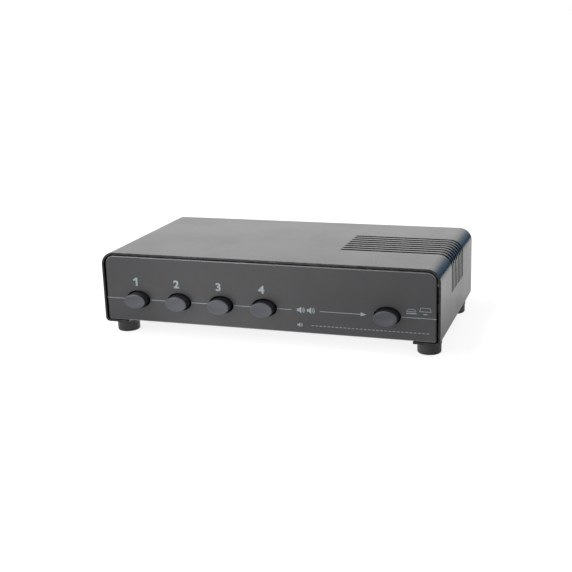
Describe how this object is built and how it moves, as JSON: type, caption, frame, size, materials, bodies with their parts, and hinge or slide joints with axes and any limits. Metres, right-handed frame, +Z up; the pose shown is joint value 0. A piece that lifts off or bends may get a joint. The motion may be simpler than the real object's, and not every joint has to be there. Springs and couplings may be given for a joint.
{
  "type": "loudspeaker selector switch",
  "caption": "Free-standing loudspeaker selector: folded vented cover, dark front panel with oval latching push buttons, spring lever terminals behind.",
  "frame": {"origin": "centre of the overall box in X and Y, on the plane that the feet stand on", "axes": "+X to the right seen from the front, -Y out of the front panel, +Z up"},
  "size_m": [0.2, 0.119, 0.05],
  "materials": {
    "cover_paint": "smooth satin black-grey paint on folded steel sheet",
    "pan_steel": "fine matt black paint on folded steel sheet",
    "fascia_plate": "fine matt dark grey with a bevelled edge and pale print",
    "button_grey": "satin moulded blue grey plastic",
    "stem_plastic": "natural moulded acetal",
    "switch_plastic": "black moulded plastic",
    "spring_steel": "drawn spring wire",
    "foot_rubber": "black moulded rubber",
    "zinc_screw": "bright zinc plate",
    "board_laminate": "green solder mask over glass laminate",
    "spacer_brass": "turned, nickel-washed brass",
    "cement": "matt white cement filled ceramic",
    "tinned_copper": "tinned copper",
    "terminal_black": "black moulded plastic",
    "lever_red": "red moulded plastic",
    "lever_black": "black moulded plastic"
  },
  "bodies": {
    "root": {"top_cover": "cover_paint", "base_pan": "pan_steel", "front_fascia": "fascia_plate", "rubber_feet": "foot_rubber", "foot_screws": "zinc_screw", "return_spring_1": "spring_steel", "switch_housing_1": "switch_plastic", "return_spring_2": "spring_steel", "switch_housing_2": "switch_plastic", "return_spring_3": "spring_steel", "switch_housing_3": "switch_plastic", "return_spring_4": "spring_steel", "switch_housing_4": "switch_plastic", "return_spring_direct": "spring_steel", "switch_housing_direct": "switch_plastic", "switch_pins": "tinned_copper", "latch_wires": "spring_steel", "circuit_board": "board_laminate", "board_standoffs": "spacer_brass", "board_screws": "zinc_screw", "protection_resistor_left": "cement", "protection_resistor_right": "cement", "resistor_leads": "tinned_copper", "terminal_block_input": "terminal_black", "terminal_block_pair1": "terminal_black", "terminal_block_pair2": "terminal_black", "terminal_block_pair3": "terminal_black", "terminal_block_pair4": "terminal_black", "terminal_contacts": "tinned_copper", "terminal_screws": "zinc_screw"},
    "button_1": {"button_cap_1": "button_grey", "plunger_1": "stem_plastic"},
    "button_2": {"button_cap_2": "button_grey", "plunger_2": "stem_plastic"},
    "button_3": {"button_cap_3": "button_grey", "plunger_3": "stem_plastic"},
    "button_4": {"button_cap_4": "button_grey", "plunger_4": "stem_plastic"},
    "button_direct": {"button_cap_direct": "button_grey", "plunger_direct": "stem_plastic"},
    "lever_input_left_plus": {"lever_input_left_plus": "lever_red"},
    "lever_input_left_minus": {"lever_input_left_minus": "lever_black"},
    "lever_input_right_plus": {"lever_input_right_plus": "lever_red"},
    "lever_input_right_minus": {"lever_input_right_minus": "lever_black"},
    "lever_pair1_left_plus": {"lever_pair1_left_plus": "lever_red"},
    "lever_pair1_left_minus": {"lever_pair1_left_minus": "lever_black"},
    "lever_pair1_right_plus": {"lever_pair1_right_plus": "lever_red"},
    "lever_pair1_right_minus": {"lever_pair1_right_minus": "lever_black"},
    "lever_pair2_left_plus": {"lever_pair2_left_plus": "lever_red"},
    "lever_pair2_left_minus": {"lever_pair2_left_minus": "lever_black"},
    "lever_pair2_right_plus": {"lever_pair2_right_plus": "lever_red"},
    "lever_pair2_right_minus": {"lever_pair2_right_minus": "lever_black"},
    "lever_pair3_left_plus": {"lever_pair3_left_plus": "lever_red"},
    "lever_pair3_left_minus": {"lever_pair3_left_minus": "lever_black"},
    "lever_pair3_right_plus": {"lever_pair3_right_plus": "lever_red"},
    "lever_pair3_right_minus": {"lever_pair3_right_minus": "lever_black"},
    "lever_pair4_left_plus": {"lever_pair4_left_plus": "lever_red"},
    "lever_pair4_left_minus": {"lever_pair4_left_minus": "lever_black"},
    "lever_pair4_right_plus": {"lever_pair4_right_plus": "lever_red"},
    "lever_pair4_right_minus": {"lever_pair4_right_minus": "lever_black"}
  },
  "joints": [
    {"name": "press_1", "type": "slide", "parent": "root", "child": "button_1", "axis": [0, 1, 0], "range_m": [0, 0.004], "stiffness_N_per_m": 250, "springref_m": -0.006, "deforming": ["return_spring_1"]},
    {"name": "press_2", "type": "slide", "parent": "root", "child": "button_2", "axis": [0, 1, 0], "range_m": [0, 0.004], "stiffness_N_per_m": 250, "springref_m": -0.006, "deforming": ["return_spring_2"]},
    {"name": "press_3", "type": "slide", "parent": "root", "child": "button_3", "axis": [0, 1, 0], "range_m": [0, 0.004], "stiffness_N_per_m": 250, "springref_m": -0.006, "deforming": ["return_spring_3"]},
    {"name": "press_4", "type": "slide", "parent": "root", "child": "button_4", "axis": [0, 1, 0], "range_m": [0, 0.004], "stiffness_N_per_m": 250, "springref_m": -0.006, "deforming": ["return_spring_4"]},
    {"name": "press_direct", "type": "slide", "parent": "root", "child": "button_direct", "axis": [0, 1, 0], "range_m": [0, 0.004], "stiffness_N_per_m": 250, "springref_m": -0.006, "deforming": ["return_spring_direct"]},
    {"name": "press_input_left_plus", "type": "hinge", "parent": "root", "child": "lever_input_left_plus", "pos_m": [-0.0859, 0.04825, 0.033], "axis": [-1, 0, 0], "range_deg": [0, 18], "stiffness_Nm_per_rad": 0.03, "springref_deg": -28.65},
    {"name": "press_input_left_minus", "type": "hinge", "parent": "root", "child": "lever_input_left_minus", "pos_m": [-0.0793, 0.04825, 0.033], "axis": [-1, 0, 0], "range_deg": [0, 18], "stiffness_Nm_per_rad": 0.03, "springref_deg": -28.65},
    {"name": "press_input_right_plus", "type": "hinge", "parent": "root", "child": "lever_input_right_plus", "pos_m": [-0.0727, 0.04825, 0.033], "axis": [-1, 0, 0], "range_deg": [0, 18], "stiffness_Nm_per_rad": 0.03, "springref_deg": -28.65},
    {"name": "press_input_right_minus", "type": "hinge", "parent": "root", "child": "lever_input_right_minus", "pos_m": [-0.0661, 0.04825, 0.033], "axis": [-1, 0, 0], "range_deg": [0, 18], "stiffness_Nm_per_rad": 0.03, "springref_deg": -28.65},
    {"name": "press_pair1_left_plus", "type": "hinge", "parent": "root", "child": "lever_pair1_left_plus", "pos_m": [-0.0479, 0.04825, 0.033], "axis": [-1, 0, 0], "range_deg": [0, 18], "stiffness_Nm_per_rad": 0.03, "springref_deg": -28.65},
    {"name": "press_pair1_left_minus", "type": "hinge", "parent": "root", "child": "lever_pair1_left_minus", "pos_m": [-0.0413, 0.04825, 0.033], "axis": [-1, 0, 0], "range_deg": [0, 18], "stiffness_Nm_per_rad": 0.03, "springref_deg": -28.65},
    {"name": "press_pair1_right_plus", "type": "hinge", "parent": "root", "child": "lever_pair1_right_plus", "pos_m": [-0.0347, 0.04825, 0.033], "axis": [-1, 0, 0], "range_deg": [0, 18], "stiffness_Nm_per_rad": 0.03, "springref_deg": -28.65},
    {"name": "press_pair1_right_minus", "type": "hinge", "parent": "root", "child": "lever_pair1_right_minus", "pos_m": [-0.0281, 0.04825, 0.033], "axis": [-1, 0, 0], "range_deg": [0, 18], "stiffness_Nm_per_rad": 0.03, "springref_deg": -28.65},
    {"name": "press_pair2_left_plus", "type": "hinge", "parent": "root", "child": "lever_pair2_left_plus", "pos_m": [-0.0099, 0.04825, 0.033], "axis": [-1, 0, 0], "range_deg": [0, 18], "stiffness_Nm_per_rad": 0.03, "springref_deg": -28.65},
    {"name": "press_pair2_left_minus", "type": "hinge", "parent": "root", "child": "lever_pair2_left_minus", "pos_m": [-0.0033, 0.04825, 0.033], "axis": [-1, 0, 0], "range_deg": [0, 18], "stiffness_Nm_per_rad": 0.03, "springref_deg": -28.65},
    {"name": "press_pair2_right_plus", "type": "hinge", "parent": "root", "child": "lever_pair2_right_plus", "pos_m": [0.0033, 0.04825, 0.033], "axis": [-1, 0, 0], "range_deg": [0, 18], "stiffness_Nm_per_rad": 0.03, "springref_deg": -28.65},
    {"name": "press_pair2_right_minus", "type": "hinge", "parent": "root", "child": "lever_pair2_right_minus", "pos_m": [0.0099, 0.04825, 0.033], "axis": [-1, 0, 0], "range_deg": [0, 18], "stiffness_Nm_per_rad": 0.03, "springref_deg": -28.65},
    {"name": "press_pair3_left_plus", "type": "hinge", "parent": "root", "child": "lever_pair3_left_plus", "pos_m": [0.0281, 0.04825, 0.033], "axis": [-1, 0, 0], "range_deg": [0, 18], "stiffness_Nm_per_rad": 0.03, "springref_deg": -28.65},
    {"name": "press_pair3_left_minus", "type": "hinge", "parent": "root", "child": "lever_pair3_left_minus", "pos_m": [0.0347, 0.04825, 0.033], "axis": [-1, 0, 0], "range_deg": [0, 18], "stiffness_Nm_per_rad": 0.03, "springref_deg": -28.65},
    {"name": "press_pair3_right_plus", "type": "hinge", "parent": "root", "child": "lever_pair3_right_plus", "pos_m": [0.0413, 0.04825, 0.033], "axis": [-1, 0, 0], "range_deg": [0, 18], "stiffness_Nm_per_rad": 0.03, "springref_deg": -28.65},
    {"name": "press_pair3_right_minus", "type": "hinge", "parent": "root", "child": "lever_pair3_right_minus", "pos_m": [0.0479, 0.04825, 0.033], "axis": [-1, 0, 0], "range_deg": [0, 18], "stiffness_Nm_per_rad": 0.03, "springref_deg": -28.65},
    {"name": "press_pair4_left_plus", "type": "hinge", "parent": "root", "child": "lever_pair4_left_plus", "pos_m": [0.0661, 0.04825, 0.033], "axis": [-1, 0, 0], "range_deg": [0, 18], "stiffness_Nm_per_rad": 0.03, "springref_deg": -28.65},
    {"name": "press_pair4_left_minus", "type": "hinge", "parent": "root", "child": "lever_pair4_left_minus", "pos_m": [0.0727, 0.04825, 0.033], "axis": [-1, 0, 0], "range_deg": [0, 18], "stiffness_Nm_per_rad": 0.03, "springref_deg": -28.65},
    {"name": "press_pair4_right_plus", "type": "hinge", "parent": "root", "child": "lever_pair4_right_plus", "pos_m": [0.0793, 0.04825, 0.033], "axis": [-1, 0, 0], "range_deg": [0, 18], "stiffness_Nm_per_rad": 0.03, "springref_deg": -28.65},
    {"name": "press_pair4_right_minus", "type": "hinge", "parent": "root", "child": "lever_pair4_right_minus", "pos_m": [0.0859, 0.04825, 0.033], "axis": [-1, 0, 0], "range_deg": [0, 18], "stiffness_Nm_per_rad": 0.03, "springref_deg": -28.65}
  ]
}
